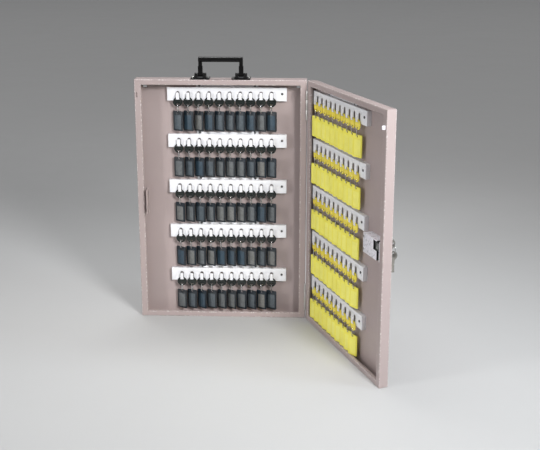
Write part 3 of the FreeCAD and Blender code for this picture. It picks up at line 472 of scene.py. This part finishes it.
def tray_mesh(name, size, depth):
    """Folded tray swept round its four sides, with the edge marks as an attribute."""
    width, height = size
    bm = bmesh.new()
    layer = bm.verts.layers.float.new("edge")
    loops = []
    for side, end in zip(section(RIM_WIDTHS[0], depth), section(RIM_WIDTHS[1], depth)):
        low = (-width / 2 + side[0], end[0])
        high = (width / 2 - side[0], height - end[0])
        radius = max(CORNER - side[0], LEAST_CORNER)
        loop = []
        for x, z in rounded_rectangle(low, high, radius, CORNER_STEPS):
            vertex = bm.verts.new((x, side[1], z))
            vertex[layer] = side[2]
            loop.append(vertex)
        loops.append(loop)
    loops_to_faces(bm, loops)
    bm.faces.new(loops[0])
    bm.faces.new(loops[-1])
    return mesh_from(bm, name)


def cut(piece, bm):
    """Takes a bmesh away from a piece."""
    name = piece.name + "_cutter"
    tool = new_object(name, mesh_from(bm, name), [])
    boolean = piece.modifiers.new("cut", "BOOLEAN")
    boolean.operation = "DIFFERENCE"
    boolean.solver = "EXACT"
    boolean.object = tool
    baked(piece)
    bpy.data.objects.remove(tool)


def cylinder(centre, radius, length, turn, sides):
    """Cylinder centred on a point, upright but for its turn."""
    bm = bmesh.new()
    matrix = Matrix.Translation(centre) @ turn
    bmesh.ops.create_cone(
        bm, cap_ends=True, segments=sides, radius1=radius, radius2=radius, depth=length, matrix=matrix
    )
    return bm


def hinge_heights(node):
    """Lowest and highest z of each of the two hinges."""
    levels = sorted(vertex.co.z for vertex in frame["nodes"][node].data.vertices)
    middle = (levels[0] + levels[-1]) / 2
    lower = [z for z in levels if z < middle]
    upper = [z for z in levels if z > middle]
    return ((lower[0], lower[-1]), (upper[0], upper[-1]))


def cut_hinge_notches(piece, side):
    """Round notches in the tray's edge for the hinge knuckles."""
    axis_x = joint("door_hinge")["pos_m"][0]
    axis_y = joint("door_hinge")["pos_m"][1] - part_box("body_shell")[0].y
    for low, high in hinge_heights("hinge_body_leaves"):
        centre = (side * axis_x, axis_y, (low + high) / 2)
        cut(piece, cylinder(centre, KNUCKLE_NOTCH, high - low + KNUCKLE_GAP, Matrix(), 40))


def slot_cutter(centre, length, radius, depth):
    """Horizontal slot with round ends, along X, cut along Y."""
    half = length / 2 - radius
    outline = arc((centre[0] + half, centre[2]), radius, -90, 90, 12)
    outline += arc((centre[0] - half, centre[2]), radius, 90, 270, 12)
    bm = bmesh.new()
    levels = (centre[1] - depth, centre[1] + depth)
    rings = [[bm.verts.new((x, y, z)) for x, z in outline] for y in levels]
    loops_to_faces(bm, rings)
    bm.faces.new(rings[0])
    bm.faces.new(rings[1])
    return bm


def body_tray():
    """Body tray with its wall slots, tab slot and hinge notches."""
    low, high = tray_box("body_shell", "body")
    mesh = tray_mesh("body_tray", (high.x - low.x, high.z), high.y)
    piece = new_object("body_tray", mesh, [MATERIALS["shell"]])
    mount = next(item for item in frame["record"]["mounts"] if item["name"] == "wall_slots")
    dims = mount["dims"]
    length = dims["slot_length_mm"] * MM
    radius = dims["hole_r_mm"] * MM
    for side in (-1, 1):
        x = side * dims["spacing_x_mm"] * MM / 2
        cut(piece, slot_cutter((x, high.y, mount["pos_m"][2]), length, radius, WALL_SLOT_CUT))
    tab_low, tab_high = tray_box("locating_tab", "door")
    centre_x = -(tab_low.x + tab_high.x) / 2
    slot_low = (centre_x - TAB_SLOT_HALF, TAB_SLOT_Y[0], tab_low.z - TAB_GAP)
    slot_high = (centre_x + TAB_SLOT_HALF, TAB_SLOT_Y[1], tab_high.z + TAB_GAP)
    cut(piece, box_mesh(slot_low, slot_high))
    cut_hinge_notches(piece, 1)
    piece.data.transform(PLACES["body"])
    smoothed(piece)
    finish_piece(piece, "body", "body_shell")


def door_tray():
    """Door tray with the lock's hole and the hinge notches."""
    low, high = tray_box("door_shell", "door")
    mesh = tray_mesh("door_tray", (high.x - low.x, high.z), high.y)
    piece = new_object("door_tray", mesh, [MATERIALS["shell"]])
    lock_low, lock_high = tray_box("lock_plug", "door")
    centre = ((lock_low.x + lock_high.x) / 2, high.y, (lock_low.z + lock_high.z) / 2)
    level = Matrix.Rotation(math.pi / 2, 4, "X")
    cut(piece, cylinder(centre, LOCK_HOLE_RADIUS, LOCK_HOLE_CUT, level, 48))
    cut_hinge_notches(piece, -1)
    piece.data.transform(PLACES["door"])
    smoothed(piece)
    finish_piece(piece, "door", "door_shell")


# ---------------------------------------------------------------- key holders
RING_WINDOW = (0.6 * MM, 7.6 * MM, 4.6 * MM)      # centre, radius and floor of the upper window
RING_EYE = (-3.1 * MM, 4.3 * MM, -4.6 * MM)       # centre, radius and top of the lower one
PLASTIC_EDGE = 0.6 * MM
WIRE = 0.8 * MM
LINK_HALF_WIDTH = 2.6 * MM
LINK_YAW_SHARE = 0.5         # of its tag's turn
TAG_WIDTH = 25.5 * MM
TAG_CORNER = 2.5 * MM
TAG_THICKNESS = 3.0 * MM     # over the label frames
TAG_CORE = TAG_THICKNESS - 0.5 * MM
TAG_HOLE_DROP = 3.3 * MM
TAG_HOLE_RADIUS = 1.9 * MM
LABEL = (17.6 * MM, 32.0 * MM)
LABEL_FOOT = 4 * MM          # from the tag's lower end to the label
LABEL_CORNER = 1.0 * MM
BORDER_WIDTH = 1.3 * MM
BORDER_CORNER = 1.6 * MM
BORDER_EDGE = 0.2 * MM
CARD_THICKNESS = TAG_THICKNESS - 0.44 * MM
CARD_EDGE = 0.05 * MM
MEAN_YAW = {"body": -29.0, "door": 16.0}
YAW_SPREAD = 4.5


def row_places(tray, row):
    """Ring radius, ring centres (x, z) and mid-plane y of one row, in the tray frame."""
    low, high = tray_box(f"{tray}_rings_{row}", tray)
    radius = (high.z - low.z) / 2
    pitch = (high.x - low.x - 2 * radius) / (HOOKS - 1)
    centres = [(low.x + radius + number * pitch, low.z + radius) for number in range(HOOKS)]
    return radius, centres, (low.y + high.y) / 2


def segment(centre_z, radius, level, above, steps):
    """Outline of the part of a circle above or below a level."""
    reach = math.degrees(math.asin((level - centre_z) / radius))
    if above:
        return arc((0, centre_z), radius, reach, 180 - reach, steps)
    return arc((0, centre_z), radius, 180 - reach, 360 + reach, steps)


def holder_ring(radius, thickness):
    """Ring head: a disc with a D-shaped window above and an eye below, edges rounded."""
    window = segment(*RING_WINDOW, True, 24)
    eye = segment(*RING_EYE, False, 16)
    return plate([circle((0, 0), radius, 48), window, eye], thickness, PLASTIC_EDGE)


def ring_row(tray, row):
    """Ten ring heads of one bar."""
    node = f"{tray}_rings_{row}"
    radius, centres, y = row_places(tray, row)
    low, high = tray_box(node, tray)
    ring = holder_ring(radius, high.y - low.y)
    bm = bmesh.new()
    for x, z in centres:
        add_copy(bm, ring, PLACES[tray] @ Matrix.Translation((x, y, z)))
    ring.free()
    colour = "black" if tray == "body" else "yellow"
    piece = new_object(f"{tray}_ring_heads_{row}", mesh_from(bm, node), [MATERIALS[colour]])
    smoothed(piece, degrees=50)
    finish_piece(piece, f"{tray}_holders_{row}", node)


def stadium(low_z, high_z, half_width):
    """Centre line of an upright oval link in the YZ plane."""
    top = high_z - half_width
    bottom = low_z + half_width
    points = [Vector((0, a, top + b)) for a, b in arc((0, 0), half_width, 0, 180, 10)]
    points += [Vector((0, a, bottom + b)) for a, b in arc((0, 0), half_width, 180, 360, 10)]
    return points


def link_row(tray, row):
    """Ten wire links of one bar, each turned by a share of its tag's turn."""
    node = f"{tray}_links_{row}"
    low, high = tray_box(node, tray)
    centres, y = row_places(tray, row)[1:]
    points = stadium(low.z + WIRE, high.z - WIRE, LINK_HALF_WIDTH)
    bm = bmesh.new()
    for number, (x, z) in enumerate(centres):
        turn = Matrix.Rotation(tag_yaw(tray, number, row) * LINK_YAW_SHARE, 4, "Z")
        place = PLACES[tray] @ Matrix.Translation((x, y, 0)) @ turn
        tube(bm, [place @ point for point in points], WIRE, closed=True)
    piece = new_object(f"{tray}_wire_links_{row}", mesh_from(bm, node), [MATERIALS["wire"]])
    smoothed(piece, degrees=60)
    finish_piece(piece, f"{tray}_holders_{row}", node)


def tag_yaw(tray, number, row):
    """Turn of one tag about the vertical: tags never hang quite square."""
    return math.radians(MEAN_YAW[tray] + YAW_SPREAD * math.sin(2.3 * number + 1.7 * (row - 1)))


def tag_parts(height):
    """Tag plate with a raised label frame on each face, and the label card, about its top centre."""
    half = TAG_WIDTH / 2
    outline = rounded_rectangle((-half, -height), (half, 0), TAG_CORNER)
    hole = circle((0, -TAG_HOLE_DROP), TAG_HOLE_RADIUS, 16)
    body = plate([outline, hole], TAG_CORE, PLASTIC_EDGE)
    reach = LABEL[0] / 2
    top = -height + LABEL[1] + LABEL_FOOT
    low = (-reach, top - LABEL[1])
    high = (reach, top)
    inner = rounded_rectangle(low, high, LABEL_CORNER)
    outer_low = (low[0] - BORDER_WIDTH, low[1] - BORDER_WIDTH)
    outer_high = (high[0] + BORDER_WIDTH, high[1] + BORDER_WIDTH)
    outer = rounded_rectangle(outer_low, outer_high, BORDER_CORNER)
    border = plate([outer, inner], TAG_THICKNESS, BORDER_EDGE, 1)
    add_copy(body, border, Matrix())
    border.free()
    card = plate([inner], CARD_THICKNESS, CARD_EDGE, 1)
    return body, card


def tag_row(tray, row):
    """Ten tags of one bar, each turned a little."""
    node = f"{tray}_tags_{row}"
    low, high = tray_box(node, tray)
    centres, y = row_places(tray, row)[1:]
    body, card = tag_parts(high.z - low.z)
    bm = bmesh.new()
    for number, (x, z) in enumerate(centres):
        turn = Matrix.Rotation(tag_yaw(tray, number, row), 4, "Z")
        place = PLACES[tray] @ Matrix.Translation((x, y, high.z)) @ turn
        add_copy(bm, body, place)
        add_copy(bm, card, place, 1)
    body.free()
    card.free()
    colours = ("tag_dark", "card_grey") if tray == "body" else ("tag_yellow", "card_yellow")
    finishes = [MATERIALS[colour] for colour in colours]
    piece = new_object(f"{tray}_key_tags_{row}", mesh_from(bm, node), finishes)
    smoothed(piece, degrees=40)
    finish_piece(piece, f"{tray}_holders_{row}", node)


def holders():
    """Every ring, link and tag of both trays."""
    for tray in ("body", "door"):
        for row in ROWS:
            ring_row(tray, row)
            link_row(tray, row)
            tag_row(tray, row)


# ---------------------------------------------------------------- hardware
CASE_WALL = 0.9 * MM         # a little less than the lock case's wall
COILS = 2                    # of the key ring, side by side
COIL_STEPS = 48
BAR_EDGE = 0.3 * MM
SCREW_EDGE = 0.1 * MM
HARDWARE = (
    # CAD node, piece, finish, body, slot, width in mm of the rounded edges and steps in them
    ("hinge_body_leaves", "hinge_leaves_body", "hinge", "body", "hinge_steel", 0.25, 2),
    ("hinge_door_leaves", "hinge_leaves_door", "hinge", "door", "hinge_steel", 0.25, 2),
    ("hinge_pins", "hinge_pin_pair", "hinge", "body", "hinge_steel", 0.1, 2),
    ("lock_strike", "strike_plate", "shell", "body", "shell_paint", 0.25, 2),
    ("handle_bases", "handle_base_pair", "handle", "body", "handle_black", 0.7, 3),
    ("handle_screws", "handle_screw_set", "screw", "body", "screw_steel", 0.1, 2),
    ("handle_bail", "handle_grip", "handle", "handle", "handle_black", 1.4, 4),
    ("locating_tab", "door_tab", "zinc", "door", "hinge_steel", 0.25, 2),
    ("lock_case", "lock_box", "zinc", "door", "lock_zinc", 0.5, 3),
    ("lock_screws", "lock_screw_pair", "screw", "door", "screw_steel", 0.15, 2),
    ("lock_barrel", "lock_cylinder", "chrome", "door", "lock_chrome", 0.15, 2),
    ("lock_plug", "lock_core", "brass", "plug", "lock_brass", 0.1, 2),
    ("lock_bolt", "lock_slide", "steel", "bolt", "lock_steel", 0.25, 2),
    ("lock_key", "key_in_lock", "key", "key", "key_nickel", 0.15, 2),
    ("spare_key", "key_on_ring", "key", "spare", "key_nickel", 0.15, 2),
)


def paint_shade_inside(case):
    """Painted shade: near-black material on the faces inside the lock case's slot and window, where shade falls.
    """
    low, high = tray_box("lock_case", "door")
    back = PLACES["door"].inverted()
    case.data.materials.append(MATERIALS["inside"])
    for face in case.data.polygons:
        centre = back @ face.center
        inside = all(low[i] + CASE_WALL < centre[i] < high[i] - CASE_WALL for i in range(3))
        if inside:
            face.material_index = 1


def hardware():
    """Bars, screws, hinges, handle and lock parts, from their CAD shapes."""
    for tray in ("body", "door"):
        for row in ROWS:
            bar = f"{tray}_hook_bar_{row}"
            refined(bar, f"{tray}_bar_{row}", "bar", tray, BAR_EDGE, 2)
        screws = f"{tray}_bar_screws"
        refined(screws, f"{tray}_bar_screw_set", "bar_screw", tray, SCREW_EDGE, 2)
    pieces = {}
    for node, name, finish, body, slot, width, steps in HARDWARE:
        pieces[node] = refined(node, name, finish, body, width * MM, steps)
    paint_shade_inside(pieces["lock_case"])


def split_ring():
    """Key ring as coils of wire side by side."""
    low, high = tray_box("key_ring", "door")
    wire = (high.y - low.y) / (2 * COILS)
    radius = (high.z - low.z) / 2 - wire
    centre = (low + high) / 2
    count = COILS * COIL_STEPS
    points = []
    for i in range(count + 1):
        angle = math.pi / 2 + 2 * math.pi * i / COIL_STEPS
        sideways = (i / count - 0.5) * 2 * wire
        outward = Vector((radius * math.cos(angle), sideways, radius * math.sin(angle)))
        points.append(PLACES["door"] @ (centre + outward))
    bm = bmesh.new()
    tube(bm, points, wire)
    piece = new_object("key_split_ring", mesh_from(bm, "key_split_ring"), [MATERIALS["ring"]])
    smoothed(piece, degrees=60)
    finish_piece(piece, "ring", "key_ring")


# ---------------------------------------------------------------- studio
CAMERA_PLACE = (0.192, -2.0915, 0.867)
CAMERA_PITCH = 14.61         # degrees down
CAMERA_YAW = 2.29
CAMERA_LENS = 63.8
CAMERA_SENSOR = 36
CAMERA_SHIFT = -0.08
CAMERA_REACH = 100
FLOOR_HALF = 20
WORLD_COLOUR = (0.95, 0.96, 1.0, 1)
WORLD_STRENGTH = 0.17
SUBJECT = (0.1, -0.1, 0.28)  # where the front lamps point
GRID = 90                    # degrees of spread that a grid leaves a lamp
LAMPS = (
    # name, place, point it is aimed at, width and height, power, colour, spread in degrees
    ("key_light", (1.0, -1.65, 1.25), SUBJECT, (0.5, 0.5), 10.2, (0.98, 0.985, 1.0), GRID),
    ("fill_light", (-1.75, -1.3, 0.85), SUBJECT, (0.35, 1.5), 4.9, (0.985, 0.985, 1.0), GRID),
    ("side_light", (2.1, -0.7, 0.85), (0.3, -0.3, 0.3), (0.4, 1.5), 4.0, (0.78, 0.90, 1.0), GRID),
    ("top_light", (-0.2, 0.4, 1.9), (0, 0, 0.5), (0.8, 0.25), 2.8, (1.0, 1.0, 1.0), GRID),
    ("overhead_light", (0, 0.3, 9.0), (0, 0.3, 0), (30.0, 30.0), 1050, (1.0, 1.0, 1.0), 180),
)


def camera():
    """Camera at the photograph's angle."""
    data = bpy.data.cameras.new("camera")
    data.lens = CAMERA_LENS
    data.sensor_width = CAMERA_SENSOR
    data.shift_y = CAMERA_SHIFT
    data.clip_end = CAMERA_REACH
    eye = bpy.data.objects.new("camera", data)
    eye.location = CAMERA_PLACE
    eye.rotation_euler = (math.radians(90 - CAMERA_PITCH), 0, math.radians(CAMERA_YAW))
    bpy.context.scene.collection.objects.link(eye)
    bpy.context.scene.camera = eye


def area_light(name, place, target, size, power, colour, spread):
    """Soft light of a given width and height, aimed at a point."""
    data = bpy.data.lights.new(name, "AREA")
    data.shape = "RECTANGLE"
    data.size, data.size_y = size
    data.energy = power
    data.color = colour
    data.spread = math.radians(spread)
    lamp = bpy.data.objects.new(name, data)
    lamp.location = place
    aim = Vector(target) - Vector(place)
    lamp.rotation_euler = aim.to_track_quat("-Z", "Y").to_euler()
    bpy.context.scene.collection.objects.link(lamp)


def studio():
    """Pale floor, pale surroundings and soft lights."""
    mesh = bpy.data.meshes.new("floor")
    corners = [(x * FLOOR_HALF, y * FLOOR_HALF, 0) for x, y in ((-1, -1), (1, -1), (1, 1), (-1, 1))]
    mesh.from_pydata(corners, [], [(0, 1, 2, 3)])
    floor_paint = surface(
        "floor_paint", (0.52, 0.52, 0.515), 0.65, grain=(300, 0.0001), blotch=(2, 0.01), specular=0.2
    )
    floor = new_object("floor", mesh, [floor_paint])
    world = bpy.data.worlds.new("studio")
    world.use_nodes = True
    background = world.node_tree.nodes["Background"]
    background.inputs["Color"].default_value = WORLD_COLOUR
    background.inputs["Strength"].default_value = WORLD_STRENGTH
    bpy.context.scene.world = world
    for lamp in LAMPS:
        area_light(*lamp)
    bpy.context.scene.view_settings.view_transform = "Standard"


camera()
studio()
body_tray()
door_tray()
holders()
hardware()
split_ring()
